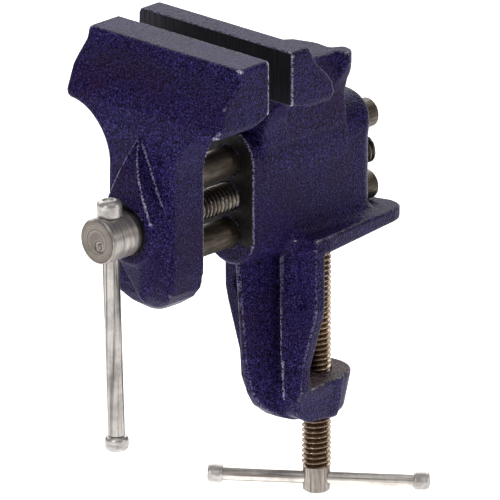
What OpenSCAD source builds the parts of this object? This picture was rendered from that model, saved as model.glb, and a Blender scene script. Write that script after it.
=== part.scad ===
// Clamp-on bench vise. Millimetres. X runs along the jaws, Y along the main screw with the moving jaw
// at -Y, Z up. The origin is on the table face of the flange, on the clamp screw's axis.

/* [Jaws] */
// Width of both jaws
jaw_w = 75.6; // [72:0.2:80]
// Height of the jaw tops above the table face
jaw_top = 89; // [87:0.5:92]
// Gap between the gripping faces, as stored
jaw_gap = 11.8; // [6:0.2:16]
// Height of the anvil behind the fixed jaw
anvil_top = 72.2; // [70:0.2:74]

/* [Main screw and guide bars] */
// Height of the main screw's axis above the table face
screw_z = 24.1; // [24:0.1:25]
// Distance from the main screw's axis to each guide bar's axis
bar_pitch = 13.7; // [13.2:0.1:13.9]
// Diameter of the guide bars
bar_d = 11; // [10:0.1:11]
// Outside diameter of both screw threads
screw_d = 10.8; // [10:0.1:11]
// Diameter of the main screw's head
head_d = 17; // [15:0.5:18]
// Radial running clearance of bars and screws
run_gap = 0.05; // [0.02:0.01:0.1]

/* [Handles] */
// Diameter of the tommy bar
tommy_d = 6.2; // [5:0.1:6.5]
// Distance between the middles of the tommy bar's knobs
tommy_span = 88.6; // [70:0.2:120]
// Lean of the tommy bar from the vertical, in degrees
tommy_lean = 2.25; // [0:0.25:20]
// Diameter of the clamp screw's bar
clamp_bar_d = 5.2; // [4:0.1:6]
// Length of the clamp screw's bar over its knobs
clamp_bar_l = 81.2; // [60:0.2:100]

/* [Table clamp] */
// Half the width of the flange and the clamp leg where they meet
leg_hw = 22.9; // [20:0.1:25]
// Depth of the clamp opening, from the table face down to the boss
throat = 53.7; // [52:0.1:56]
// Radius of the swivel pad
pad_r = 11; // [9:0.1:12]

/* [Hidden] */

enamel = [0.10, 0.10, 0.28];
steel = [0.80, 0.79, 0.77];
oiled = [0.45, 0.38, 0.28];

round_fn = 64;
big = 200;

// Heights and places along the screw
jaw_hw = jaw_w / 2;
upper_z = screw_z + bar_pitch;
lower_z = screw_z - bar_pitch;
grip_y = -53.4;
moving_grip_y = grip_y - jaw_gap;
stem_back_y = moving_grip_y - 11;
stem_front_y = stem_back_y - 16.8;
boss_front_y = stem_front_y - 7.1;
head_back_y = boss_front_y - 1.3;
head_front_y = head_back_y - 14;
head_mid_y = (head_back_y + head_front_y) / 2;
bar_rear_y = 27.6;
screw_rear_y = 26.7;
bar_front_y = stem_back_y - 13;
pin_y = stem_back_y - 7;

// Body casting
barrel_r = 12.7;
barrel_front_y = -46.1;
column_front_y = -42.5;
column_rear_y = 1.2;
barrel_rear_y = 17.5;
web_r = 20.5;

// Moving jaw casting
stem_hw = 15.8;
stem_low_z = -9.8;
boss_r = 13;

// Flange and clamp leg
plate_front_y = -24.9;
plate_rear_y = -19.25;
flange_front_t = 7.2;
flange_rear_t = 5.4;
flange_end_y = 32;
flange_end_hw = 15;
flange_end_r = 9;
leg_low_hw = 15.9;
clamp_boss_r = 12.7;
clamp_boss_low_r = 9.5;
clamp_boss_low_z = -70.3;
dimple_x = 14.8;
dimple_z = -18.3;

// Tommy bar and its knobs
knob_r = 4.6;
knob_l = 6;
knob_round = 1.9;
saddle = 0.5;
tommy_top = head_d / 2 - saddle + 0.1 + knob_l / 2;
tommy_r = tommy_d / 2;

// Clamp screw, pad and bar
pad_top_z = -2.2;
pad_low_z = -6.4;
pad_recess_r = 6.5;
pad_recess_z = -4.2;
spigot_r = 3.5;
clamp_head_r = 5.05;
clamp_head_top_z = -91.6;
clamp_head_low_z = -101.1;
clamp_bar_z = -96.1;
clamp_bar_turn = 36.87;
clamp_bar_shift = 0.8;
clamp_knob_r = 3.35;
clamp_knob_l = 5.6;

// Circular arc of points about c, from angle a to angle b in n steps
function arc(c, r, a, b, n = 12) =
    [for (i = [0:n]) c + r * [cos(a + (b - a) * i / n), sin(a + (b - a) * i / n)]];
function mirrored(pts) = concat(pts, [for (i = [len(pts) - 1:-1:0]) [-pts[i][0], pts[i][1]]]);

// An outline drawn in Y and Z, extruded along X over width w
module along_x(w) rotate([90, 0, 90]) linear_extrude(w, center = true) children();

// An outline drawn in X and Z, extruded along Y from y0 to y1
module along_y(y0, y1)
    translate([0, y1, 0]) rotate([90, 0, 0]) linear_extrude(y1 - y0) children();

// A round bar or bore along Y at height z
module bar_y(r, y0, y1, z)
    translate([0, y0, z]) rotate([-90, 0, 0]) cylinder(r = r, h = y1 - y0, $fn = round_fn);

// The same with a chamfered rear end, and a chamfered front end if both is set
module chamfered_bar_y(r, y0, y1, z, c, both = false) {
    translate([0, y0, z]) rotate([-90, 0, 0]) rotate_extrude($fn = round_fn)
        polygon([[0, 0], [both ? r - c : r, 0], [r, both ? c : 0.001],
            [r, y1 - y0 - c], [r - c, y1 - y0], [0, y1 - y0]]);
}

// Front outline of a jaw: its head, and the concave webs that narrow it to a column of half-width hw
module jaw_outline(hw, low_z, head_low_z) {
    web_c = [hw + web_r, head_low_z - web_r];
    polygon(mirrored(concat(
        [[jaw_hw, jaw_top], [jaw_hw, head_low_z]],
        arc(web_c, web_r, 90, 180),
        [[hw, low_z]])));
}

// Two guide bars wide at r, joined by flat sides
module stadium(r, z0, z1) {
    translate([0, z0]) circle(r = r, $fn = round_fn);
    translate([0, z1]) circle(r = r, $fn = round_fn);
    translate([-r, z0]) square([2 * r, z1 - z0]);
}

// Clearance through the castings for the two guide bars and the main screw
module shaft_bores(y0, y1) {
    for (z = [lower_z, upper_z]) bar_y(bar_d / 2 + run_gap, y0, y1, z);
    bar_y(screw_d / 2 + run_gap, y0, y1, screw_z);
}

// Wide head of the fixed jaw, with its webs down to the column
module fixed_head() {
    intersection() {
        along_x(jaw_w) polygon(concat(
            [[grip_y, jaw_top], [grip_y, 68.6], [-48, 67], [-43, 64.6], [column_front_y, 44], [-28, 44], [-33.5, 64.6]],
            [[-31.2, 66.8], [-30.7, 69.5], [-32, 73.4], [-34.4, 76.6], [-40.2, 82], [-41.4, 84.6], [-43.7, jaw_top]]));
        along_y(-60, 0) jaw_outline(barrel_r, 40, 65.5);
    }
}

// Column between the guide barrel, the jaw and the anvil
module column() {
    along_x(2 * barrel_r) polygon([[column_front_y, upper_z], [column_front_y, 66], [-38, 80], [-34, 76],
        [-31, 70], [-24, 66], [-10, 64], [-2, 64], [-1.4, 58], [column_rear_y, 48], [column_rear_y + 2, upper_z]]);
}

// Anvil: a pad that widens to the rear
module anvil() {
    pad_t = 9.4;
    translate([0, 0, anvil_top - pad_t]) linear_extrude(pad_t)
        polygon(mirrored(concat([[13, -36], [13.4, -14.6]], arc([12.4, -3.4], 3.4, 0, 90, 6))));
}

// Housing of the guide bars and the main screw
module barrel() {
    intersection() {
        along_y(barrel_front_y, barrel_rear_y) stadium(barrel_r, lower_z, upper_z);
        translate([0, 0, -50]) linear_extrude(big) polygon(mirrored(concat(
            [[barrel_r, -60]], arc([barrel_r - 7, barrel_rear_y - 7], 7, 0, 90, 8))));
        along_x(60) polygon(concat([[-60, -20], [plate_front_y + 1, -20], [plate_front_y + 1, 0], [barrel_rear_y, 0]],
            arc([barrel_rear_y - 9, 41.4], 9, 0, 90, 8), [[-60, 50.5]]));
    }
}

// Flange that lies on the table
module flange() {
    intersection() {
        translate([0, 0, -1]) linear_extrude(20) polygon(mirrored(concat(
            [[leg_hw, plate_front_y], [leg_hw, plate_rear_y + 2]],
            arc([flange_end_hw - flange_end_r, flange_end_y - flange_end_r], flange_end_r, 8, 90, 10))));
        along_x(60) polygon(concat([[plate_front_y, 0]],
            arc([plate_front_y + 3.3, flange_front_t - 3.3], 3.3, 180, 95, 6),
            [[barrel_rear_y - 2, flange_rear_t], [flange_end_y - 1.5, flange_rear_t],
            [flange_end_y, flange_rear_t - 1.5], [flange_end_y, 0]]));
    }
}

// Plate of the clamp leg, down to the arm that carries the clamp boss
module leg_plate() {
    intersection() {
        along_x(60) polygon([[plate_front_y, 0.5], [plate_rear_y, 0.5], [plate_rear_y, -throat], [0, -throat],
            [0, clamp_boss_low_z], [-14, -69], [-22, -65], [-24.2, -60]]);
        along_y(-60, 10) polygon(mirrored([[leg_hw, 1], [leg_hw, -21], [leg_low_hw, -44.5], [leg_low_hw - 0.6, -54],
            [clamp_boss_r, -60], [clamp_boss_low_r, clamp_boss_low_z]]));
        translate([0, 0, -90]) linear_extrude(100) polygon(mirrored([[leg_hw, -60], [leg_hw, plate_rear_y],
            [leg_low_hw - 0.6, plate_rear_y], [clamp_boss_r - 0.1, -1], [clamp_boss_r - 0.1, 1]]));
    }
}

// Keel along the front of the leg, a wedge with a narrow front edge
module keel() {
    intersection() {
        along_x(20) polygon([[-42.2, 4], [-42.2, -3], [-38.7, -41.4], [-37.4, -48], [-35.6, -54.5], [-31.6, -60.3],
            [-23.8, -65.9], [-15.3, -69.4], [-6, clamp_boss_low_z], [-6, -60], [plate_rear_y - 1, -58],
            [plate_rear_y - 1, 4]]);
        translate([0, 0, -90]) linear_extrude(110)
            polygon(mirrored([[4.2, 0], [4.2, plate_front_y + 1], [2.6, plate_front_y - 4], [1.1, -43]]));
    }
}

// Fixed jaw, anvil, guide housing, flange and clamp leg, in one casting
module body() {
    color(enamel) difference() {
        union() {
            fixed_head();
            column();
            anvil();
            barrel();
            flange();
            leg_plate();
            keel();
            translate([0, 0, clamp_boss_low_z])
                cylinder(r1 = clamp_boss_low_r, r2 = clamp_boss_r, h = -clamp_boss_low_z - throat, $fn = round_fn);
        }
        shaft_bores(-60, 40);
        translate([0, 0, clamp_boss_low_z - 1]) cylinder(r = screw_d / 2 + run_gap, h = 25, $fn = round_fn);
        for (s = [-1, 1]) translate([s * dimple_x, plate_front_y - 1.6, dimple_z]) sphere(r = 3.6, $fn = round_fn);
    }
}

// Wide head of the moving jaw: a lip at the top, then a front that slopes out and down
module moving_head() {
    y = moving_grip_y;
    intersection() {
        along_x(jaw_w) polygon([[y, jaw_top], [y - 14.5, jaw_top], [y - 15.6, 84.6], [y - 20.4, 79.5],
            [y - 26.4, 69], [y - 27.4, 67], [y - 27.4, 60], [y - 11, 60], [y - 11, 62.6], [y, 68.4]]);
        along_y(y - 40, y + 10) jaw_outline(stem_hw, 40, 64.5);
    }
}

// Stem of the moving jaw, with a blunt V at its foot that is rounded off towards the front
module stem() {
    y = stem_front_y;
    intersection() {
        union() {
            along_y(y, stem_back_y) jaw_outline(stem_hw, 8, 64.5);
            along_y(y, stem_back_y) polygon(mirrored([[stem_hw, 9], [stem_hw, 6.5], [14.6, 0.5], [11.2, -3.8],
                [5, -7.8], [1, stem_low_z]]));
        }
        along_x(big) polygon([[stem_back_y, 65], [stem_back_y, stem_low_z], [y + 10, stem_low_z], [y + 6, -8.4],
            [y + 2.5, -5.6], [y + 0.6, -2], [y, 2], [y, 60], [y + 2.5, 65]]);
    }
}

// Boss under the screw's head, with a rib up to the head of the jaw and a shorter one down to the foot
module screw_boss() {
    y = boss_front_y;
    bar_y(boss_r, y, stem_front_y + 1, screw_z);
    intersection() {
        along_x(30) polygon([[stem_front_y + 1, 58.6], [stem_front_y, 58.6], [y + 4.8, 55.4], [y + 2.6, 50.8],
            [y + 1.1, 45.5], [y + 0.3, 39.7], [y, 33], [y, 12], [y + 2.1, 11], [stem_front_y, -2.4],
            [stem_front_y + 1, -2.4]]);
        along_y(y - 1, stem_front_y + 1) polygon(mirrored([[0.6, 58.6], [12.1, 29], [12.6, 24], [11.6, 18],
            [10.4, 14.6], [0.6, -2.4]]));
    }
}

// Moving jaw, in one casting: blind holes for the guide bars, and cross holes for their pins
module moving_jaw() {
    color(enamel) difference() {
        union() {
            moving_head();
            stem();
            screw_boss();
        }
        bar_y(screw_d / 2 + run_gap, boss_front_y - 1, stem_back_y + 1, screw_z);
        for (z = [lower_z, upper_z]) {
            bar_y(bar_d / 2 + 0.01, bar_front_y - 0.5, stem_back_y + 1, z);
            translate([-stem_hw - 1, pin_y, z]) rotate([0, 90, 0])
                cylinder(r = pin_r + 0.01, h = pin_l + 1.5, $fn = round_fn);
        }
    }
}

// Guide bar: fixed in the moving jaw, sliding through the body
module guide_bar(z) {
    color(oiled) difference() {
        chamfered_bar_y(bar_d / 2, bar_front_y, bar_rear_y, z, 0.6, both = true);
        translate([-10, pin_y, z]) rotate([0, 90, 0]) cylinder(r = pin_r + 0.01, h = 20, $fn = round_fn);
    }
}

// Spring pin that holds a guide bar in the moving jaw: a slit tube, driven in from the left
pin_r = 2;
pin_l = 22.8;
module guide_bar_pin(z) {
    color(steel) translate([-stem_hw + 0.4, pin_y, z]) rotate([0, 90, 0]) difference() {
        cylinder(r = pin_r, h = pin_l, $fn = round_fn);
        translate([0, 0, -1]) cylinder(r = pin_r - 0.8, h = pin_l + 2, $fn = round_fn);
        translate([0, -0.35, -1]) cube([pin_r + 1, 0.7, pin_l + 2]);
    }
}

// Main screw: a turned head with a seat for the upper knob, a plain journal through the moving jaw, and the thread at its outside diameter
groove_y = stem_back_y + 1.65;
groove_w = 1.1;
groove_r = 4.4;
module main_screw() {
    bevel = 0.7;
    l = screw_rear_y - head_front_y;
    color(steel) difference() {
        translate([0, head_front_y, screw_z]) rotate([-90, 0, 0]) rotate_extrude($fn = round_fn) polygon([
            [0, 1.2], [1.4, 0], [head_d / 2 - bevel, 0], [head_d / 2, bevel],
            [head_d / 2, head_back_y - head_front_y - 0.3], [head_d / 2 - 0.3, head_back_y - head_front_y],
            [screw_d / 2, head_back_y - head_front_y], [screw_d / 2, groove_y - head_front_y],
            [groove_r, groove_y - head_front_y], [groove_r, groove_y + groove_w - head_front_y],
            [screw_d / 2, groove_y + groove_w - head_front_y], [screw_d / 2, l - 0.8], [screw_d / 2 - 0.8, l],
            [0, l]]);
        on_tommy_axis() {
            cylinder(r = tommy_r + 0.08, h = 3 * head_d, center = true, $fn = round_fn);
            translate([0, 0, head_d / 2 - saddle]) cylinder(r = knob_r + 0.3, h = 3, $fn = round_fn);
        }
    }
}

// Flat ring about the main screw, from y0 to y1
module ring_y(r_in, r_out, y0, y1) {
    difference() {
        bar_y(r_out, y0, y1, screw_z);
        bar_y(r_in, y0 - 1, y1 + 1, screw_z);
    }
}

// Washer between the screw's head and the boss
module thrust_washer() {
    color(steel) ring_y(screw_d / 2 + 0.1, head_d / 2 - 0.3, head_back_y + 0.05, boss_front_y - 0.05);
}

// Washer behind the moving jaw's stem
module retaining_washer() {
    color(steel) ring_y(screw_d / 2 + 0.1, 7.9, stem_back_y + 0.05, groove_y);
}

// Open clip in the screw's groove, which draws the jaw back
module retaining_clip() {
    color(steel) difference() {
        ring_y(groove_r + 0.02, 7.2, groove_y + 0.05, groove_y + groove_w - 0.05);
        translate([-2.4, groove_y - 1, screw_z - 10]) cube([4.8, groove_w + 2, 8]);
    }
}

// Everything on the tommy bar's own axis, drawn along Z with the screw's axis at 0
module on_tommy_axis() translate([0, head_mid_y, screw_z]) rotate([0, -tommy_lean, 0]) children();

// Barrel knob of radius r and length l, centred on Z, rounded at its shoulders
module knob(r, l, shoulder, bore) {
    rotate_extrude($fn = round_fn) polygon(concat([[bore, -l / 2]],
        arc([r - shoulder, -l / 2 + shoulder], shoulder, -90, 0, 6),
        arc([r - shoulder, l / 2 - shoulder], shoulder, 0, 90, 6), [[bore, l / 2]]));
}

// Tommy bar, with its ends turned down for the knobs
spigot_d = 4.4;
module tommy_bar() {
    low = tommy_top - tommy_span;
    color(steel) on_tommy_axis() {
        translate([0, 0, low + knob_l / 2]) cylinder(r = tommy_r, h = tommy_span - knob_l, $fn = round_fn);
        translate([0, 0, low - knob_l / 2 + 0.4]) cylinder(d = spigot_d, h = tommy_span + knob_l - 0.8, $fn = round_fn);
    }
}

module tommy_knob_upper() color(steel) on_tommy_axis() translate([0, 0, tommy_top])
    knob(knob_r, knob_l, knob_round, spigot_d / 2 + 0.01);

module tommy_knob_lower() color(steel) on_tommy_axis() translate([0, 0, tommy_top - tommy_span])
    knob(knob_r, knob_l, knob_round, spigot_d / 2 + 0.01);

// Swivel pad: a disc that bears on the underside of the table
module clamp_pad() {
    color(oiled) rotate_extrude($fn = round_fn) polygon([[spigot_r + 0.08, pad_low_z], [7.5, pad_low_z],
        [pad_r - 0.5, pad_low_z + 2], [pad_r, pad_low_z + 2.6], [pad_r, pad_top_z - 0.4], [pad_r - 0.4, pad_top_z],
        [pad_recess_r, pad_top_z], [pad_recess_r, pad_recess_z], [spigot_r + 0.08, pad_recess_z]]);
}

// Clamp screw: a plain head at the bottom, the thread at its outside diameter, and a spigot for the pad
clip_low_z = -4;
module clamp_screw() {
    color(oiled) difference() {
        rotate_extrude($fn = round_fn) polygon([[0, clamp_head_low_z], [clamp_head_r - 0.6, clamp_head_low_z],
            [clamp_head_r, clamp_head_low_z + 0.6], [clamp_head_r, clamp_head_top_z], [screw_d / 2, clamp_head_top_z + 0.4],
            [screw_d / 2, pad_low_z - 0.9], [screw_d / 2 - 0.8, pad_low_z - 0.1], [spigot_r, pad_low_z - 0.1],
            [spigot_r, clip_low_z], [spigot_r - 0.7, clip_low_z], [spigot_r - 0.7, clip_low_z + 0.9],
            [spigot_r, clip_low_z + 0.9], [spigot_r, pad_top_z - 0.6], [0, pad_top_z - 0.6]]);
        translate([0, 0, clamp_bar_z]) rotate([0, 90, clamp_bar_turn])
            cylinder(r = clamp_bar_d / 2 + 0.08, h = 30, center = true, $fn = round_fn);
    }
}

// Open ring that holds the pad on the clamp screw's spigot
module pad_retainer() {
    color(steel) translate([0, 0, clip_low_z + 0.05]) difference() {
        cylinder(r = 5.6, h = 0.8, $fn = round_fn);
        translate([0, 0, -1]) cylinder(r = spigot_r - 0.68, h = 3, $fn = round_fn);
        translate([0, -1.2, -1]) cube([10, 2.4, 3]);
    }
}

// Everything on the clamp bar's own axis, drawn along Z
module on_clamp_bar_axis() translate([0, 0, clamp_bar_z]) rotate([0, 90, clamp_bar_turn]) children();

clamp_knob_x = (clamp_bar_l - clamp_knob_l) / 2;
module clamp_bar() {
    color(steel) on_clamp_bar_axis() translate([0, 0, clamp_bar_shift]) {
        cylinder(d = clamp_bar_d, h = clamp_bar_l - 2 * clamp_knob_l, center = true, $fn = round_fn);
        cylinder(d = clamp_bar_d - 1.4, h = clamp_bar_l - 0.8, center = true, $fn = round_fn);
    }
}

module clamp_knob(side) color(steel) on_clamp_bar_axis() translate([0, 0, clamp_bar_shift + side * clamp_knob_x])
    knob(clamp_knob_r, clamp_knob_l, 1, clamp_bar_d / 2 - 0.69);

body();
moving_jaw();
guide_bar(upper_z);  // guide_bar_upper
guide_bar(lower_z);  // guide_bar_lower
guide_bar_pin(upper_z);  // guide_bar_pin_upper
guide_bar_pin(lower_z);  // guide_bar_pin_lower
main_screw();
thrust_washer();
retaining_washer();
retaining_clip();
tommy_bar();
tommy_knob_upper();
tommy_knob_lower();
clamp_pad();
clamp_screw();
pad_retainer();
clamp_bar();
clamp_knob(-1);  // clamp_knob_left
clamp_knob(1);  // clamp_knob_right
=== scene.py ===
"""Clamp-on bench vise: castings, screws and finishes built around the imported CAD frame.

Shapes are worked out in millimetres, as signed distance fields in the frame's axes, and meshed in metres.
X runs along the jaws, Y from the main screw's head to the back, and Z up. An outline is a list of corners,
each with its two coordinates and, where it goes through rounded(), a rounding.
"""

import math

import bpy
import numpy as np
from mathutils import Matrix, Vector


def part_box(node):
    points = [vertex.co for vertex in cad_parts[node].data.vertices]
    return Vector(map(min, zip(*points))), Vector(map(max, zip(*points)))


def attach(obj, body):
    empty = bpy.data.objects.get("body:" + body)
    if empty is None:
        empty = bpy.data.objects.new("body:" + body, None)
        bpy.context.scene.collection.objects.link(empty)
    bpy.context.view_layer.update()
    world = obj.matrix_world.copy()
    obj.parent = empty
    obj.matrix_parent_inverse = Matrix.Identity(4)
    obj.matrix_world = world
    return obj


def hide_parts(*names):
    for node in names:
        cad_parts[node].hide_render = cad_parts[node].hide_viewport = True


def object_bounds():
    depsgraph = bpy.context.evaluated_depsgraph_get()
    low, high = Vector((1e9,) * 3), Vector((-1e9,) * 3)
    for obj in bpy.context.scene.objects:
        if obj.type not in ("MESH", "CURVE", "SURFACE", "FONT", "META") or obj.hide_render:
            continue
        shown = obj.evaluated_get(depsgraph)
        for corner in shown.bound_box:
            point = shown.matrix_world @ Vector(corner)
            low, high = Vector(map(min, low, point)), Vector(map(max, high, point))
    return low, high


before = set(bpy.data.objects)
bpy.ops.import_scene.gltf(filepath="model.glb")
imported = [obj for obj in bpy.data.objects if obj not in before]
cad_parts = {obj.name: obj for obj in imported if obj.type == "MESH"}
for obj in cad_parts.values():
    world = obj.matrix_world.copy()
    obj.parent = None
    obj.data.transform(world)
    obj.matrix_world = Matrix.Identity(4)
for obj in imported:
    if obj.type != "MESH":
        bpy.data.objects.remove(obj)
cad_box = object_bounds()
MM = 0.001


def corners(node):
    """Lowest and highest corner of a CAD node, in millimetres."""
    low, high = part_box(node)
    return np.array(low) / MM, np.array(high) / MM


body_low, body_high = corners("body")
jaw_low, jaw_high = corners("moving_jaw")
screw_low, screw_high = corners("main_screw")
upper_low, upper_high = corners("guide_bar_upper")
lower_low, lower_high = corners("guide_bar_lower")
clamp_low, clamp_high = corners("clamp_screw")
pin_low, pin_high = corners("guide_bar_pin_upper")
clip_low, clip_high = corners("retaining_clip")
knob_low, knob_high = corners("tommy_knob_upper")
pad_low = corners("clamp_pad")[0]

JAW_TOP = body_high[2]
JAW_HW = body_high[0]
FIXED_FACE = body_low[1]
MOVING_FACE = jaw_high[1]
UPPER_Z = (upper_low[2] + upper_high[2]) / 2
LOWER_Z = (lower_low[2] + lower_high[2]) / 2
SCREW_Z = (UPPER_Z + LOWER_Z) / 2
BAR_R = (upper_high[0] - upper_low[0]) / 2
THREAD_R = 5.4
THREAD_DEPTH = 1.15
PITCH = 2.0
RUN_GAP = 0.05
PRESS_GAP = 0.01
DIAGONAL = 0.71
ENAMEL = "enamel"


# Distance fields ----------------------------------------------------------------------------------------

def smax(a, b, r):
    """Intersection whose edge is rounded to radius r."""
    outside = np.hypot(np.maximum(a + r, 0), np.maximum(b + r, 0))
    return np.minimum(np.maximum(a, b), -r) + outside


def smin(a, b, r):
    """Union whose inner corner is filleted to radius r."""
    return -smax(-a, -b, r)


def polygon(points, u, v):
    """Signed distance from (u, v) to a closed outline, negative inside."""
    nearest, inside = np.inf, False
    for i, (ax, ay) in enumerate(points):
        bx, by = points[(i + 1) % len(points)]
        ex, ey = bx - ax, by - ay
        if ex == 0 and ey == 0:
            continue
        t = np.clip(((u - ax) * ex + (v - ay) * ey) / (ex * ex + ey * ey), 0, 1)
        nearest = np.minimum(nearest, (u - ax - t * ex) ** 2 + (v - ay - t * ey) ** 2)
        inside = inside ^ (((ay > v) != (by > v)) & (u < ax + (v - ay) * ex / (ey or 1e-9)))
    return np.where(inside, -1.0, 1.0) * np.sqrt(nearest)


def rounded(points, steps=4):
    """Outline whose corners (x, y, radius) are replaced by curves."""
    out = []
    for i, (x, y, r) in enumerate(points):
        p = np.array([x, y], float)
        if r == 0:
            out.append((x, y))
            continue
        a = np.array(points[i - 1][:2], float) - p
        b = np.array(points[(i + 1) % len(points)][:2], float) - p
        la, lb = np.hypot(*a), np.hypot(*b)
        half = math.acos(np.clip(a @ b / (la * lb), -1, 1)) / 2
        reach = min(r / math.tan(half), 0.48 * la, 0.48 * lb)
        start, end = p + a / la * reach, p + b / lb * reach
        for t in np.linspace(0, 1, steps + 1):
            q = (1 - t) ** 2 * start + 2 * t * (1 - t) * p + t * t * end
            out.append((float(q[0]), float(q[1])))
    return out


def mirrored(points):
    """A half outline at +X, completed with its mirror image."""
    return list(points) + [(-p[0],) + tuple(p[1:]) for p in reversed(points)]


def arc(cx, cy, r, a, b, steps=10):
    """Points on an arc, angles in degrees."""
    return [(cx + r * math.cos(math.radians(t)), cy + r * math.sin(math.radians(t)))
            for t in np.linspace(a, b, steps + 1)]


def bore(x, z, at_z, r):
    """Cylinder along Y at height at_z."""
    return np.hypot(x, z - at_z) - r


def between(value, low, high):
    """Slab from low to high."""
    return np.maximum(low - value, value - high)


def chamfer(side, end, size):
    """Cone that cuts the edge between a cylinder's side and its end."""
    return (side + end + size) * DIAGONAL


# Meshing ------------------------------------------------------------------------------------------------

def gradient(field, p, d=0.02):
    """A field and its gradient at the points p."""
    base = field(*p.T)
    steps = [(field(*(p + d * np.eye(3)[k]).T) - base) / d for k in range(3)]
    return base, np.stack(steps, axis=1)


def surface(name, field, low, high, step, settle=2):
    """Meshes the zero surface of a field between two corners, one vertex to a cell it crosses."""
    axes = [np.arange(a - 2 * step, b + 3 * step, step) for a, b in zip(low, high)]
    x, y, z = np.meshgrid(*axes, indexing="ij", sparse=True)
    size = tuple(len(a) for a in axes)
    f = np.broadcast_to(field(x, y, z), size)
    inside = f < 0
    cells, points = [], []
    for k in range(3):
        first = [slice(None)] * 3
        second = [slice(None)] * 3
        first[k], second[k] = slice(0, -1), slice(1, None)
        f0, f1 = f[tuple(first)], f[tuple(second)]
        at = np.argwhere(inside[tuple(first)] != inside[tuple(second)])
        v0, v1 = f0[tuple(at.T)], f1[tuple(at.T)]
        p = at.astype(float)
        p[:, k] += v0 / (v0 - v1)
        b, c = np.eye(3, dtype=int)[(k + 1) % 3], np.eye(3, dtype=int)[(k + 2) % 3]
        ring = np.stack([at, at - b, at - b - c, at - c], axis=1)
        flip = v0 > 0
        ring[flip] = ring[flip][:, ::-1]
        cells.append(np.ravel_multi_index(tuple(np.moveaxis(ring, 2, 0)), size))
        points.append(p)
    cells, points = np.concatenate(cells), np.concatenate(points)
    ids, quads = np.unique(cells.ravel(), return_inverse=True)
    quads = quads.reshape(-1, 4)
    count = np.bincount(quads.ravel(), minlength=len(ids))
    middles = [np.bincount(quads.ravel(), np.repeat(points[:, k], 4), len(ids)) / count for k in range(3)]
    verts = np.stack(middles, axis=1) * step + [a[0] for a in axes]
    # Each vertex settles on the surface, by at most half a step at a time
    for _ in range(settle):
        value, slope = gradient(field, verts)
        move = value[:, None] * slope / np.maximum((slope ** 2).sum(1), 0.05)[:, None]
        length = np.linalg.norm(move, axis=1, keepdims=True)
        verts = verts - move * np.minimum(1, 0.5 * step / np.maximum(length, 1e-9))
    mesh = bpy.data.meshes.new(name)
    mesh.vertices.add(len(verts))
    mesh.vertices.foreach_set("co", (verts * MM).ravel())
    mesh.loops.add(quads.size)
    mesh.loops.foreach_set("vertex_index", quads.ravel())
    mesh.polygons.add(len(quads))
    mesh.polygons.foreach_set("loop_start", np.arange(0, quads.size, 4))
    mesh.polygons.foreach_set("use_smooth", np.ones(len(quads), bool))
    mesh.update(calc_edges=True)
    mesh.validate()
    return bpy.data.objects.new(name, mesh)


def place(obj, body, slot_name, *nodes):
    """Links a piece, rides it on its body, and lets it stand for CAD nodes."""
    bpy.context.scene.collection.objects.link(obj)
    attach(obj, body)
    if nodes:
        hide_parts(*nodes)
    return obj


def paint_faces(obj, test, index):
    """Gives a material index to the faces whose centres pass the test."""
    mesh = obj.data
    centre = np.empty(len(mesh.polygons) * 3)
    mesh.polygons.foreach_get("center", centre)
    which = np.empty(len(mesh.polygons), int)
    mesh.polygons.foreach_get("material_index", which)
    which[test(*(centre.reshape(-1, 3).T / MM))] = index
    mesh.polygons.foreach_set("material_index", which)


# Castings -----------------------------------------------------------------------------------------------

def jaw_front(half_width, web_x, web_z, web_r, foot):
    """Front outline of a jaw: the head, its concave webs, and the stem or column under it."""
    web = arc(web_x, web_z, web_r, 96, 176)
    under = web_z + web_r
    head = [(JAW_HW, JAW_TOP + 5), (JAW_HW, under + 2.8), (JAW_HW - 0.6, under + 0.9), (JAW_HW - 2, under)]
    return mirrored(head + web + [(half_width, web_z - 6)] + foot)


def shafts(x, z, gap=RUN_GAP):
    """The two guide bars and the main screw."""
    bars = np.minimum(bore(x, z, UPPER_Z, BAR_R + gap), bore(x, z, LOWER_Z, BAR_R + gap))
    return np.minimum(bars, bore(x, z, SCREW_Z, THREAD_R + gap))


STEM_BACK = MOVING_FACE - 11
STEM_FRONT = STEM_BACK - 16.8
STEM_HW = 16.0
BOSS_LENGTH = 7.1
BOSS_FRONT = STEM_FRONT - BOSS_LENGTH
BOSS_R = 14.0
BOSS_TAPER = 1.1
SPOT_R = 9.6
SPOT_DEPTH = 0.25
HEAD_UNDERSIDE = 62
PIN_Y = (pin_low[1] + pin_high[1]) / 2
PIN_BORE_R = 2.01
PAST_FACE = MOVING_FACE + 6
PAST_STEM = STEM_BACK + 2
RIB_ROOT = -88

moving_side = rounded([
    (PAST_FACE, JAW_TOP, 0), (-80.2, JAW_TOP, 1.2), (-81.4, 84.6, 2.5), (-86.2, 79.6, 4), (-88.7, 76.6, 4),
    (-92.2, 67.6, 4), (STEM_FRONT, 60, 6), (STEM_FRONT, 2, 3), (-92.4, -2, 3), (-90.5, -5.8, 3),
    (-87, -8.4, 3), (-83, -9.6, 3), (PAST_STEM, -9.8, 0), (PAST_STEM, 63.6, 3), (MOVING_FACE, 68.4, 0),
    (PAST_FACE, 70.6, 0)])
moving_front = jaw_front(
    STEM_HW, 36.3, 44.2, 20.5,
    [(STEM_HW, 8), (14.5, 0.5), (11, -3.8), (5, -7.8), (1.2, -9.8), (0, -9.9)])
rib_front = rounded([
    (RIB_ROOT, 60, 0), (-93.1, 59, 0.5), (-95.3, 55.4, 3), (-97.5, 50.8, 5), (-99, 45.5, 6),
    (-99.8, 39.7, 6), (BOSS_FRONT, 33, 6), (BOSS_FRONT, 29, 0), (RIB_ROOT, 29, 0)])


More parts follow.
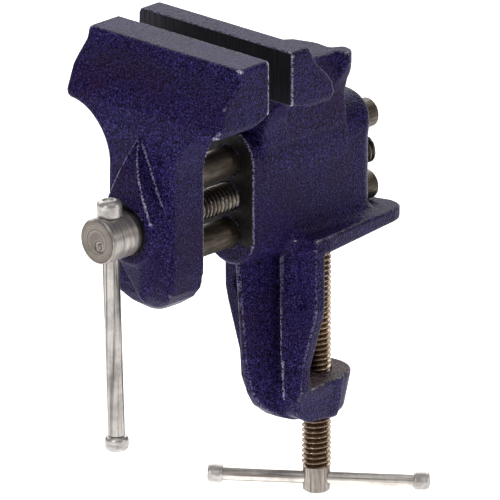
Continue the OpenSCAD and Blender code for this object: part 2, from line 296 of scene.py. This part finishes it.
def moving_jaw(x, y, z):
    """Head, stem, screw boss and the two ribs, with the machined grip and the holes.

    The ribs' divisors bring sloping fields back to distances.
    """
    casting = smax(polygon(moving_side, y, z), polygon(moving_front, x, z), 1.7)
    # Boss, slightly wider at its root
    reach = STEM_FRONT - y
    boss = bore(x, z, SCREW_Z, BOSS_R) + BOSS_TAPER * np.clip(reach / BOSS_LENGTH, 0, 1.2)
    boss = smax(boss, BOSS_FRONT - y, 2.2)
    boss = np.maximum(boss, y - STEM_BACK + 4)
    casting = smin(casting, boss, 2.0)
    # Rib up to the head: a wedge that narrows to a point
    flank = (np.abs(x) - (0.45 * (59.2 - z) - 0.2 * reach)) / 1.12
    rib = smax(flank, polygon(rib_front, y, z), 0.5)
    casting = smin(casting, rib, 0.9)
    # Shorter rib down to the foot, with a flat front
    flank = (np.abs(x) - (0.62 * (z + 3.4) - 0.76 * reach)) / 1.41
    front = ((-93 - 0.373 * (z + 2.4)) - y) / 1.07
    foot = smax(smax(flank, front, 0.5), np.maximum(z - 16, y - STEM_FRONT - 1.5), 0.6)
    casting = smin(casting, foot, 0.9)
    # Machined grip, stem's back, spot face, and the holes
    back = np.minimum(y - STEM_BACK, HEAD_UNDERSIDE - z)
    casting = np.maximum(casting, np.maximum(y - MOVING_FACE, back))
    spot = np.maximum(bore(x, z, SCREW_Z, SPOT_R), y - (BOSS_FRONT + SPOT_DEPTH))
    fit_r = BAR_R + PRESS_GAP
    holes = np.minimum(bore(x, z, UPPER_Z, fit_r), bore(x, z, LOWER_Z, fit_r))
    holes = np.maximum(holes, upper_low[1] - 0.5 - y)
    pins = np.minimum(np.hypot(y - PIN_Y, z - UPPER_Z), np.hypot(y - PIN_Y, z - LOWER_Z)) - PIN_BORE_R
    pins = np.maximum(pins, x - pin_high[0] - 0.6)
    screw_bore = bore(x, z, SCREW_Z, THREAD_R + RUN_GAP)
    cut = np.minimum(np.minimum(screw_bore, holes), np.minimum(pins, spot))
    return np.maximum(casting, -cut)


COLUMN_HW = 12.7
PAST_FIXED = FIXED_FACE - 6
fixed_side = rounded([
    (PAST_FIXED, JAW_TOP, 0), (-43.7, JAW_TOP, 1.2), (-41.5, 84.6, 2), (-39.8, 81.8, 3), (-34.2, 76.4, 3),
    (-31.6, 73, 3), (-30.6, 69.4, 2), (-31.4, 66.4, 2), (-33.5, 64.4, 3), (-28, 44, 0), (-42.5, 44, 0),
    (-43.4, 64.4, 3), (-48, 67, 2), (FIXED_FACE, 68.6, 0), (PAST_FIXED, 69, 0)])
fixed_front = jaw_front(COLUMN_HW, 33.2, 45, 20.5, [(COLUMN_HW, 38), (0, 38)])
column_side = rounded([
    (-42.5, 30, 0), (-42.5, 66, 0), (-38, 80, 0), (-34, 75.8, 3), (-30, 70.5, 4), (-22, 68, 3),
    (-10, 68, 0), (-3, 67, 1), (0.3, 57.7, 5), (3.4, 43, 6), (3.6, 30, 0)])

ANVIL_TOP = 72.2
anvil_plan = rounded([
    (-13, -40, 0), (13, -40, 0), (13.4, -14.6, 10), (13.9, -5, 2), (19.2, -2.2, 1.4), (16, 1.4, 2),
    (11.6, 2.2, 2), (8.6, -2.6, 2.5), (0, -1.4, 6), (-9, -1.6, 3), (-13.2, -6.5, 4)])
anvil_front = mirrored([
    (18.9, ANVIL_TOP + 4), (17.7, 68), (16.1, 63.8), (14.0, 60), (12.8, 56), (12.7, 44), (0, 44)])

HOUSING_R = 12.7
HOUSING_FRONT = -47.0
HOUSING_REAR = 17.5

FLANGE_HW = 22.9
FLANGE_REAR = 30.9
LEG_FRONT = -24.9
LEG_REAR = -19.25
CLAMP_BOSS_TOP = -53.7
CLAMP_BOSS_LOW = -70.3
CLAMP_BORE_TOP = -40
KEEL_ROOT = LEG_REAR - 1
flange_plan = mirrored(rounded([
    (0, LEG_FRONT, 0), (FLANGE_HW, LEG_FRONT, 1.5), (FLANGE_HW, -17, 8), (15.6, FLANGE_REAR, 8),
    (0, FLANGE_REAR, 0)]))
flange_side = rounded([
    (LEG_FRONT, 0, 0), (LEG_FRONT, 7.2, 3.3), (15.5, 5.9, 0), (32, 5.8, 1.5), (32, 0, 0.6)])
leg_front = mirrored([
    (FLANGE_HW, 4), (FLANGE_HW, -21), (21.6, -26.5), (15.9, -44.5), (15.3, -54), (12.7, -60), (9.6, -72),
    (0, -72)])
leg_side = rounded([
    (LEG_FRONT, 3, 0), (LEG_REAR, 3, 0), (LEG_REAR, CLAMP_BOSS_TOP, 3), (0.5, CLAMP_BOSS_TOP, 0),
    (0.5, CLAMP_BOSS_LOW, 0), (-14, -69, 6), (-22, -65, 6), (-24.4, -58, 6)])
leg_plan = mirrored([
    (FLANGE_HW + 2, -50), (FLANGE_HW + 2, LEG_REAR), (15.3, LEG_REAR), (12.5, -1), (12.5, 1), (0, 1)])
keel_side = rounded([
    (-42.4, 5, 2), (-42.2, -3, 4), (-38.7, -41.4, 10), (-37.4, -48, 6), (-35.6, -54.5, 6),
    (-31.6, -60.3, 6), (-23.8, -65.9, 6), (-15.3, -69.4, 6), (-6, CLAMP_BOSS_LOW, 0), (-6, -60, 0),
    (KEEL_ROOT, -58, 0), (KEEL_ROOT, 5, 0)])

RIDGE_R = 2.0
GROOVE_X, GROOVE_R = 5.0, 1.7
TROUGH_X, TROUGH_R = 11.6, 2.9
DIMPLE_X, DIMPLE_Z, DIMPLE_R = 14.8, -18.3, 3.6


def jaw_and_housing(x, y, z):
    """Fixed jaw, column, anvil, and the housing of the bars and the screw."""
    jaw = smax(polygon(fixed_side, y, z), polygon(fixed_front, x, z), 1.5)
    column = smax(polygon(column_side, y, z), np.abs(x) - COLUMN_HW, 2.0)
    anvil = smax(polygon(anvil_plan, x, y), polygon(anvil_front, x, z), 1.2)
    anvil = smax(anvil, z - ANVIL_TOP, np.interp(x, [-8, 3], [5.0, 0.9]))
    casting = smin(smin(jaw, column, 1.0), anvil, 1.2)
    stadium = np.hypot(x, z - np.clip(z, LOWER_Z, UPPER_Z)) - HOUSING_R
    housing = smax(stadium, y - HOUSING_REAR, np.interp(z, [34, 46], [6.5, 3.0]))
    housing = smax(housing, HOUSING_FRONT - y, np.interp(z, [-2, 9], [2.8, 0.5]))
    housing = np.maximum(housing, np.minimum(-z, y - LEG_FRONT - 1))
    return smin(casting, housing, 0.8)


def add_leg(casting, x, y, z):
    """Adds the flange, the clamp leg and its keel to the casting."""
    ax = np.abs(x)
    dish = z - np.interp(ax, [2, 9], [4.7, 5.9]) - np.interp(y, [10, 20], [1.5, 0])
    flange = smax(smax(polygon(flange_plan, x, y), polygon(flange_side, y, z), 1.4), dish, 1.5)
    casting = smin(casting, np.maximum(flange, -z), 6.0)
    leg = smax(polygon(leg_front, x, z), polygon(leg_side, y, z), 1.2)
    leg = smax(leg, polygon(leg_plan, x, y), 1.5)
    casting = smin(casting, leg, 1.2)
    keel_hw = np.interp(y, [-44, -42.2, -30, LEG_FRONT], [0.6, 1.0, 2.7, 3.5])
    keel = smax(polygon(keel_side, y, z), (ax - keel_hw) * 0.97, 0.9)
    return smin(casting, keel, 1.0)


def shape_leg(casting, x, y, z):
    """Adds the leg's ridges and the clamp screw's boss, and cuts the grooves, troughs and dimples."""
    ax = np.abs(x)
    sweep = np.interp(z, [-60, -3, 3.4, 5.3], [7.0, 7.2, 10.2, 13.2])
    taper = np.interp(z, [-58, -40, 0, 5, 7], [0.2, 0.8, 1, 1, 0])
    ridge = np.hypot(ax - sweep, y - LEG_FRONT - 0.2) - RIDGE_R * taper
    casting = smin(casting, np.maximum(ridge, between(z, -58, 6.2)), 0.5)
    groove = np.hypot(ax - GROOVE_X, y - LEG_FRONT - 0.1) - GROOVE_R
    casting = smax(casting, -np.maximum(groove, between(z, -52, 1)), 0.5)
    past_end = np.maximum(between(z, -15, -3), 0)
    trough = np.hypot(np.hypot(ax - TROUGH_X, y - LEG_FRONT + 1.0), past_end) - TROUGH_R
    casting = smax(casting, -trough, 0.8)
    cone_r = np.interp(z, [CLAMP_BOSS_LOW, CLAMP_BOSS_TOP], [9.5, 12.7])
    cone = (np.hypot(x, y) - cone_r) * 0.98
    boss = smax(cone, between(z, CLAMP_BOSS_LOW, CLAMP_BOSS_TOP), np.interp(z, [-68, -60], [3.4, 1.4]))
    casting = smin(casting, boss, 2.5)
    across, deep, up = ax - DIMPLE_X, y - LEG_FRONT + 1.1, z - DIMPLE_Z
    dimple = np.sqrt(across ** 2 + deep ** 2 + up ** 2) - DIMPLE_R
    return smax(casting, -dimple, 0.7)


def body(x, y, z):
    """Fixed jaw, housing, flange and clamp leg, with the machined grip, the throat and the bores."""
    casting = shape_leg(add_leg(jaw_and_housing(x, y, z), x, y, z), x, y, z)
    casting = np.maximum(casting, FIXED_FACE - y)
    throat = np.maximum(between(z, CLAMP_BOSS_TOP, 0), LEG_REAR - y)
    casting = np.maximum(casting, -throat)
    clamp_bore = np.maximum(np.hypot(x, y) - THREAD_R - RUN_GAP, z - CLAMP_BORE_TOP)
    return np.maximum(casting, -np.minimum(shafts(x, z), clamp_bore))


casting_step = 0.7
body_obj = place(surface("vise_body", body, body_low, body_high, casting_step), "frame", ENAMEL, "body")
jaw_obj = place(surface("vise_moving_jaw", moving_jaw, jaw_low, jaw_high, casting_step),
                "jaw", ENAMEL, "moving_jaw")


# Screws and knobs ---------------------------------------------------------------------------------------

THREAD_SLOPE = 0.62


def thread(radius, along, angle):
    """Right-hand thread about an axis: distance from the axis, place along it, and angle about it."""
    phase = (along / PITCH - angle / (2 * math.pi)) % 1.0
    flank = np.clip(1.18 * np.abs(2 * phase - 1) - 0.06, 0, 1)
    return (radius - (THREAD_R - THREAD_DEPTH * flank)) * THREAD_SLOPE


TOMMY_LEAN = math.radians(2.25)
TOMMY_BORE_R = 3.18
HEAD_R = screw_high[0]
HEAD_LENGTH = 14
HEAD_FRONT = screw_low[1]
HEAD_BACK = HEAD_FRONT + HEAD_LENGTH
HEAD_MID = (HEAD_FRONT + HEAD_BACK) / 2
CLIP_Y = (clip_low[1] + clip_high[1]) / 2
CLIP_GROOVE_R, CLIP_GROOVE_HW = 4.4, 0.55
END_CHAMFER = 0.9
UPPER_KNOB_R = (knob_high[1] - knob_low[1]) / 2
LOWER_KNOB_R = 4.35
KNOB_SINK = 0.4
KNOB_HALF = 3.0


def main_screw(x, y, z):
    """Threaded shaft with the clip's groove, and the turned head with the tommy bar's bore and seat."""
    r = np.hypot(x, z - SCREW_Z)
    screw = thread(r, y, np.arctan2(x, z - SCREW_Z))
    screw = np.where(y < CLIP_Y + 1.2, r - THREAD_R, screw)
    groove = np.maximum(CLIP_GROOVE_R - r, np.abs(y - CLIP_Y) - CLIP_GROOVE_HW)
    screw = np.maximum(screw, -groove)
    past_end = y - screw_high[1]
    screw = np.maximum(screw, chamfer(r - THREAD_R, past_end, END_CHAMFER))
    screw = np.maximum(screw, np.maximum(past_end, HEAD_BACK - 1 - y))
    head = np.maximum(r - HEAD_R, np.abs(y - HEAD_MID) - HEAD_LENGTH / 2)
    head = np.maximum(head, chamfer(r - HEAD_R, HEAD_FRONT - y, 0.75))
    head = np.maximum(head, chamfer(r - HEAD_R, y - HEAD_BACK, 0.3))
    # Ring mark, a little off the centre of the head's front
    mark = np.hypot(np.hypot(x - 1.2, z - SCREW_Z + 1.8) - 1.6, y - HEAD_FRONT) - 0.55
    head = np.maximum(head, -mark)
    across = x * math.cos(TOMMY_LEAN) + (z - SCREW_Z) * math.sin(TOMMY_LEAN)
    along = (z - SCREW_Z) * math.cos(TOMMY_LEAN) - x * math.sin(TOMMY_LEAN)
    from_bar = np.hypot(across, y - HEAD_MID)
    seat = np.maximum(from_bar - UPPER_KNOB_R - 0.3, HEAD_R - 0.5 - KNOB_SINK - along)
    return np.maximum(np.minimum(screw, head), -np.minimum(from_bar - TOMMY_BORE_R, seat))


CLAMP_HEAD_TOP = -91.6
CLAMP_HEAD_R = 5.05
CLAMP_BAR_Z = -96.1
CLAMP_BAR_BORE_R = 2.68
CLAMP_SHAFT_TOP = pad_low[2] - 0.1
SPIGOT_R = 3.5
RING_Z, RING_R, RING_HW = -3.55, 2.8, 0.45
BAR_X, BAR_Y = 0.8, 0.6


def clamp_screw(x, y, z):
    """Threaded shaft, the pad's spigot with its ring groove, and the head with the bar's bore."""
    r = np.hypot(x, y)
    past_end = z - CLAMP_SHAFT_TOP
    screw = thread(r, z, np.arctan2(y, x))
    screw = np.maximum(np.maximum(screw, chamfer(r - THREAD_R, past_end, END_CHAMFER)), past_end)
    screw = np.maximum(screw, CLAMP_HEAD_TOP - z)
    spigot = np.maximum(r - SPIGOT_R, between(z, -8, clamp_high[2]))
    spigot = np.maximum(spigot, -np.maximum(RING_R - r, np.abs(z - RING_Z) - RING_HW))
    head = np.maximum(r - CLAMP_HEAD_R, between(z, clamp_low[2], CLAMP_HEAD_TOP + 0.4))
    head = np.maximum(head, chamfer(r - CLAMP_HEAD_R, clamp_low[2] - z, 0.8))
    hole = np.hypot(x * BAR_Y - y * BAR_X, z - CLAMP_BAR_Z) - CLAMP_BAR_BORE_R
    return np.maximum(np.minimum(np.minimum(screw, spigot), head), -hole)


def tommy_knob(node, radius, low, high, low_round, high_round, recess_side):
    """Barrel knob on the tommy bar's axis, with the bar's riveted end in a shallow recess."""
    first, last = corners(node)
    mid_x, mid_y, mid_z = (first + last) / 2
    recess_r, recess_depth, belly = 2.2, 0.35, 0.012

    def field(x, y, z):
        along = (z - mid_z) * math.cos(TOMMY_LEAN) - (x - mid_x) * math.sin(TOMMY_LEAN)
        across = (x - mid_x) * math.cos(TOMMY_LEAN) + (z - mid_z) * math.sin(TOMMY_LEAN)
        r = np.hypot(across, y - mid_y)
        rounding = np.where(along > 0, high_round, low_round)
        barrel = smax(r - radius + belly * along ** 2, between(along, low, high), rounding)
        depth = high - along if recess_side > 0 else along - low
        return np.maximum(barrel, -np.maximum(r - recess_r, depth - recess_depth))

    return surface("vise_" + node, field, first - 0.6, last + 0.2, 0.25)


upper_knob = place(
    tommy_knob("tommy_knob_upper", UPPER_KNOB_R, -KNOB_HALF - KNOB_SINK, KNOB_HALF, 0.9, 1.9, 1),
    "tommy", "knob_steel", "tommy_knob_upper")
lower_knob = place(
    tommy_knob("tommy_knob_lower", LOWER_KNOB_R, -KNOB_HALF, KNOB_HALF - 0.3, 1.9, 1.7, -1),
    "tommy", "knob_steel", "tommy_knob_lower")
screw_step = 0.3
screw_obj = place(surface("vise_main_screw", main_screw, screw_low, screw_high, screw_step),
                  "spindle", "turned_steel", "main_screw")
clamp_obj = place(surface("vise_clamp_screw", clamp_screw, clamp_low, clamp_high, screw_step),
                  "clamp_spindle", "oiled_steel", "clamp_screw")


# Materials ----------------------------------------------------------------------------------------------

class Nodes:
    """Small helper that adds shader nodes and links them."""

    def __init__(self, name):
        self.material = bpy.data.materials.new(name)
        self.material.use_nodes = True
        self.tree = self.material.node_tree
        self.shader = self.tree.nodes["Principled BSDF"]

    def add(self, kind, settings=(), **inputs):
        node = self.tree.nodes.new("ShaderNode" + kind)
        for key, value in dict(settings).items():
            setattr(node, key, value)
        for key, value in inputs.items():
            self.set(node, key, value)
        return node

    def set(self, node, key, value):
        """Links or sets an input, named with underscores for spaces, or i and its number."""
        numbered = key[0] == "i" and key[1:].isdigit()
        self.join(node.inputs[int(key[1:]) if numbered else key.replace("_", " ")], value)

    def join(self, socket, value):
        if isinstance(value, bpy.types.NodeSocket):
            self.tree.links.new(value, socket)
        else:
            socket.default_value = value

    def finish(self, **inputs):
        for key, value in inputs.items():
            self.set(self.shader, key, value)
        return self.material

    def coords(self, scale=(1, 1, 1), turn=0.0):
        """Object coordinates, turned about Z and then scaled."""
        vector = self.add("TexCoord").outputs["Object"]
        if turn:
            vector = self.add("Mapping", Vector=vector, Rotation=(0, 0, turn)).outputs["Vector"]
        return self.add("Mapping", Vector=vector, Scale=scale).outputs["Vector"]

    def radius(self, axis):
        """Distance from the main screw's axis (axis 1) or the clamp screw's (axis 2), in metres."""
        parts = self.add("SeparateXYZ", Vector=self.add("TexCoord").outputs["Object"])
        across = [parts.outputs[k] for k in range(3) if k != axis]
        if axis == 1:
            across[1] = self.math("SUBTRACT", across[1], SCREW_Z * MM)
        flat = self.add("CombineXYZ", X=across[0], Y=across[1]).outputs[0]
        return self.add("VectorMath", {"operation": "LENGTH"}, Vector=flat).outputs["Value"]

    def noise(self, vector, scale, detail=3.0, roughness=0.5):
        node = self.add("TexNoise", Vector=vector, Scale=scale, Detail=detail, Roughness=roughness)
        return node.outputs["Fac"]

    def cells(self, vector, scale, smooth=0.6):
        node = self.add("TexVoronoi", {"feature": "SMOOTH_F1"}, Vector=vector, Scale=scale, Smoothness=smooth)
        return node.outputs["Distance"]

    def ramp(self, value, low, high, to_low, to_high):
        node = self.add("MapRange", Value=value, From_Min=low, From_Max=high, To_Min=to_low, To_Max=to_high)
        return node.outputs["Result"]

    def mix(self, factor, a, b):
        node = self.add("Mix", {"data_type": "RGBA"})
        for index, value in ((0, factor), (6, a), (7, b)):
            self.join(node.inputs[index], value)
        return node.outputs[2]

    def math(self, operation, a, b):
        return self.add("Math", {"operation": operation}, i0=a, i1=b).outputs[0]

    def bump(self, height, strength, distance, normal=None):
        node = self.add("Bump", Height=height, Strength=strength, Distance=distance)
        if normal:
            self.join(node.inputs["Normal"], normal)
        return node.outputs["Normal"]


def rgb(r, g, b):
    """sRGB 0-255 to a linear colour."""
    return tuple((c / 255 / 12.92 if c <= 10 else ((c / 255 + 0.055) / 1.055) ** 2.4)
                 for c in (r, g, b)) + (1.0,)


NAVY, NAVY_FLAKE = rgb(5, 2, 26), rgb(46, 37, 98)
# The last colour is a painted highlight, laid on sharp edges and in creases
FLECK, PATCH, EDGE_HIGHLIGHT = rgb(92, 84, 148), rgb(36, 13, 38), rgb(228, 226, 248)


def hammertone(name, base=NAVY, flake=NAVY_FLAKE, edges=(0.53, 0.57, 0.55), crease=0.0):
    """Hammertone enamel: fine dimples, lighter flakes in them, and a painted highlight on sharp edges and in
    creases.

    edges holds the pointiness where the painted highlight starts, where it is full, and how strong it gets;
    crease sets how strong the painted highlight gets in concave creases.
    """
    n = Nodes(name)
    at = n.coords()
    grain = n.noise(at, 1500.0, 3.0, 0.6)
    dimples = n.cells(at, 1100.0)
    patches = n.noise(at, 45.0, 2.0)
    colour = n.mix(n.ramp(grain, 0.47, 0.6, 0.0, 1.0), base, flake)
    flecks = n.ramp(n.noise(at, 1900.0, 1.0), 0.6, 0.66, 0.0, 1.0)
    colour = n.mix(n.math("MULTIPLY", flecks, 0.7), colour, FLECK)
    colour = n.mix(n.ramp(patches, 0.4, 0.7, 0.0, 0.5), colour, PATCH)
    pointiness = n.add("NewGeometry").outputs["Pointiness"]
    # Painted highlight: near-white on sharp convex edges and, as strong as crease says, in concave creases,
    # broken up by the grain
    painted_highlight = n.math("MAXIMUM", n.ramp(pointiness, edges[0], edges[1], 0.0, edges[2]),
                  n.ramp(pointiness, 0.475, 0.44, 0.0, crease))
    painted_highlight = n.math("MULTIPLY", painted_highlight, n.ramp(grain, 0.44, 0.54, 0.0, 1.0))
    colour = n.mix(painted_highlight, colour, EDGE_HIGHLIGHT)
    height = n.math("ADD", n.math("MULTIPLY", dimples, 0.5), n.math("MULTIPLY", grain, 0.7))
    normal = n.bump(height, 0.8, 0.0005, n.bump(n.noise(at, 220.0, 1.0), 0.2, 0.0005))
    return n.finish(Base_Color=colour, Roughness=n.ramp(grain, 0.3, 0.7, 0.22, 0.4), Metallic=0.0,
                    Specular_IOR_Level=0.05, Normal=normal)


def metal(name, dark, light, rough=(0.25, 0.45), stretch=(400, 400, 400), turn=0.0, root_tint=None, bump=0.15,
          metallic=1.0, rings=False, spread=(0.3, 0.7)):
    """Bare metal with a directional or ringed grain and soft stains.

    The tint near the axis is given as the axis it is measured from, the radii in mm where it ends, and its
    colour.
    """
    n = Nodes(name)
    if rings:
        grain = n.noise(n.add("CombineXYZ", X=n.radius(1)).outputs[0], 2200.0, 3.0, 0.6)
    else:
        grain = n.noise(n.coords(stretch, turn), 1.0, 5.0, 0.6)
    stains = n.noise(n.coords(), 140.0, 4.0, 0.6)
    tone = n.math("MULTIPLY", n.ramp(grain, *spread, 0.0, 1.0), n.ramp(stains, 0.3, 0.6, 0.55, 1.0))
    colour = n.mix(tone, dark, light)
    if root_tint:
        # Darker colour towards the axis, down in the thread roots
        axis, low, high, tint = root_tint
        colour = n.mix(n.ramp(n.radius(axis), low * MM, high * MM, 0.0, 1.0), tint, colour)
    return n.finish(Base_Color=colour, Metallic=metallic,
                    Roughness=n.ramp(grain, 0.3, 0.7, rough[1], rough[0]),
                    Normal=n.bump(grain, bump, 0.0001))


body_enamel = hammertone("navy_enamel_body")
# The moving jaw gets stronger painted highlights on its edges and in its creases
jaw_enamel = hammertone("navy_enamel_jaw", edges=(0.53, 0.565, 1.0), crease=0.9)
stained_enamel = hammertone("oil_stained_enamel", rgb(24, 16, 14), rgb(120, 100, 88))
machined = metal("machined_iron", rgb(34, 32, 40), rgb(66, 62, 70), (0.4, 0.6), (900, 900, 60))
# Near-black iron, used as painted shade on the housing's front face between the jaws
shade_black_iron = metal("shade_black_iron", rgb(20, 17, 16), rgb(46, 42, 40), (0.5, 0.7), (500, 500, 500),
                   metallic=0.5)
guide_steel = metal("oiled_guide_bar", rgb(50, 44, 38), rgb(106, 96, 84), (0.34, 0.52), (900, 160, 900),
                    metallic=0.75)
turned = metal("turned_steel", rgb(118, 112, 108), rgb(210, 203, 198), (0.26, 0.42), (60, 1500, 60),
               metallic=0.75)
main_thread = metal("main_thread_steel", rgb(84, 76, 70), rgb(164, 155, 147), (0.25, 0.4), (600, 900, 600),
                    root_tint=(1, 4.3, 5.3, rgb(40, 32, 27)))
turned_face = metal("turned_face", rgb(70, 64, 58), rgb(170, 162, 154), (0.3, 0.5), rings=True, bump=0.3)
handle_steel = metal("drawn_steel_upright", rgb(48, 45, 43), rgb(196, 190, 186), (0.22, 0.42),
                     (700, 700, 8), metallic=0.8, spread=(0.36, 0.54))
cross_steel = metal("drawn_steel_level", rgb(92, 81, 70), rgb(246, 240, 232), (0.22, 0.42), (8, 700, 700),
                    -math.atan2(BAR_Y, BAR_X), metallic=0.7, spread=(0.34, 0.56))
clamp_thread = metal("oiled_thread", rgb(120, 98, 78), rgb(205, 186, 165), (0.22, 0.4), (900, 900, 300),
                     root_tint=(2, 4.35, 5.3, rgb(66, 46, 30)))
knob_steel = metal("polished_knob", rgb(150, 144, 140), rgb(226, 222, 218), (0.34, 0.46), (260, 260, 500),
                   metallic=0.7)
clamp_head = metal("turned_clamp_head", rgb(84, 77, 70), rgb(190, 182, 174), (0.26, 0.42), (700, 700, 50),
                   metallic=0.8)
spring = metal("spring_steel", rgb(60, 60, 64), rgb(120, 118, 120), (0.3, 0.5), (500, 500, 500))
washer = metal("washer_steel", rgb(120, 116, 112), rgb(180, 176, 170), (0.3, 0.5), (500, 900, 500))

# Each mesh's materials, in the order of their slots
mesh_finishes = (
    (body_obj, (body_enamel, machined, shade_black_iron, stained_enamel)),
    (jaw_obj, (jaw_enamel, machined, shade_black_iron, stained_enamel)),
    (screw_obj, (turned, main_thread, turned_face)),
    (upper_knob, (knob_steel,)),
    (lower_knob, (knob_steel,)),
    (clamp_obj, (clamp_thread, clamp_head)),
)
for piece, slots in mesh_finishes:
    for finish in slots:
        piece.data.materials.append(finish)
MACHINED, PAINTED_SHADE, STAINED = 1, 2, 3
MAIN_THREAD, FACE = 1, 2
CLAMP_HEAD = 1
SKIN = 0.08
SHADE_LOW, SHADE_HIGH = 7, 58

paint_faces(body_obj, lambda x, y, z: y < FIXED_FACE + SKIN, MACHINED)
paint_faces(jaw_obj, lambda x, y, z: y > MOVING_FACE - SKIN, MACHINED)
# Painted shade: the housing's front face, from above the lower bar up under the jaw, takes the near-black
# iron
paint_faces(body_obj, lambda x, y, z: (y < HOUSING_FRONT + 0.06) & (between(z, SHADE_LOW, SHADE_HIGH) < 0),
            PAINTED_SHADE)
paint_faces(body_obj, lambda x, y, z: (np.abs(z - CLAMP_BOSS_TOP + 0.2) < 0.4) & (y > LEG_REAR + 1),
            STAINED)
paint_faces(body_obj, lambda x, y, z: shafts(x, z) < 0.05, MACHINED)
paint_faces(body_obj, lambda x, y, z: (np.hypot(x, y) < THREAD_R + 0.1) & (z < -50), MACHINED)
paint_faces(jaw_obj, lambda x, y, z: (bore(x, z, SCREW_Z, SPOT_R - 0.1) < 0) & (y < BOSS_FRONT + 0.4),
            MACHINED)
paint_faces(screw_obj, lambda x, y, z: y > HEAD_BACK + 0.05, MAIN_THREAD)
paint_faces(screw_obj, lambda x, y, z: y < HEAD_FRONT + 0.25, FACE)
paint_faces(clamp_obj, lambda x, y, z: z < CLAMP_HEAD_TOP + 0.3, CLAMP_HEAD)

node_finishes = {
    "guide_bar_upper": guide_steel, "guide_bar_lower": guide_steel, "guide_bar_pin_upper": spring,
    "guide_bar_pin_lower": spring, "retaining_clip": spring, "pad_retainer": spring,
    "thrust_washer": washer, "retaining_washer": washer, "tommy_bar": handle_steel,
    "clamp_bar": cross_steel, "clamp_knob_left": knob_steel, "clamp_knob_right": knob_steel,
    "clamp_pad": clamp_thread,
}
for node, finish in node_finishes.items():
    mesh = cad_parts[node].data
    mesh.materials.clear()
    mesh.materials.append(finish)


# Floor, light and camera --------------------------------------------------------------------------------

CLAMP_TRAVEL = 0.0468
FLOOR_GAP = 0.0002
FLOOR_SIZE = 8.0


def plane(name, size, z):
    """Square plane at height z, in metres."""
    mesh = bpy.data.meshes.new(name)
    s = size / 2
    mesh.from_pydata([(-s, -s, z), (s, -s, z), (s, s, z), (-s, s, z)], [], [(0, 1, 2, 3)])
    obj = bpy.data.objects.new(name, mesh)
    bpy.context.scene.collection.objects.link(obj)
    return obj


# The floor lies below the clamp screw's handle when the clamp is fully open
floor = plane("floor", FLOOR_SIZE, cad_box[0][2] - CLAMP_TRAVEL - FLOOR_GAP)
paper = Nodes("pale_floor")
paper_colour = paper.mix(paper.noise(paper.coords(), 300.0, 3.0), (0.86, 0.86, 0.86, 1), (0.9, 0.9, 0.9, 1))
floor.data.materials.append(paper.finish(
    Base_Color=paper_colour, Roughness=0.9, Specular_IOR_Level=0.1, Emission_Color=(1, 0.99, 0.98, 1),
    Emission_Strength=0.7))

TARGET = Vector((-0.01579, -0.01853, -0.00755))
AZIMUTH, ELEVATION, DISTANCE = 43.3, 19.4, 7.278
FOCAL_LENGTH = 1444
SENSOR_WIDTH = 36
CLIP_END = 50


def direction(azimuth, elevation):
    """From the object towards a viewer at that azimuth and elevation, in degrees."""
    azimuth, elevation = math.radians(azimuth), math.radians(elevation)
    return Vector((math.sin(azimuth) * math.cos(elevation), -math.cos(azimuth) * math.cos(elevation),
                   math.sin(elevation)))


def look_at(obj, distance, azimuth, elevation):
    """Links a camera or light, at that distance and direction, facing the target."""
    eye = TARGET + distance * direction(azimuth, elevation)
    obj.location = eye
    obj.rotation_euler = (TARGET - eye).to_track_quat("-Z", "Y").to_euler()
    bpy.context.scene.collection.objects.link(obj)


camera_data = bpy.data.cameras.new("camera")
camera_data.lens = FOCAL_LENGTH
camera_data.sensor_width = SENSOR_WIDTH
camera_data.clip_end = CLIP_END
camera = bpy.data.objects.new("camera", camera_data)
look_at(camera, DISTANCE, AZIMUTH, ELEVATION)
bpy.context.scene.camera = camera


def softbox(name, azimuth, elevation, distance, size, power, tint=(1, 1, 1)):
    """Rectangular area light that faces the object."""
    data = bpy.data.lights.new(name, "AREA")
    data.shape = "RECTANGLE"
    data.size, data.size_y = size
    data.energy = power
    data.color = tint
    look_at(bpy.data.objects.new(name, data), distance, azimuth, elevation)


softbox("back_softbox", 215, 32, 1.6, (2.6, 1.2), 32)
softbox("top_softbox", 60, 78, 1.4, (1.4, 1.4), 5)
softbox("left_light", -85, 28, 1.8, (0.35, 0.5), 3)
softbox("right_strip", 115, 20, 1.8, (0.1, 0.25), 5, (1.0, 0.93, 0.88))
softbox("front_strip", 8, 26, 1.8, (0.06, 0.7), 10)

bpy.context.scene.view_settings.view_transform = "Standard"
world = bpy.data.worlds.new("studio")
world.use_nodes = True
sky = world.node_tree.nodes["Background"].inputs
sky["Color"].default_value = (0.95, 0.96, 1.0, 1)
sky["Strength"].default_value = 0.1
bpy.context.scene.world = world
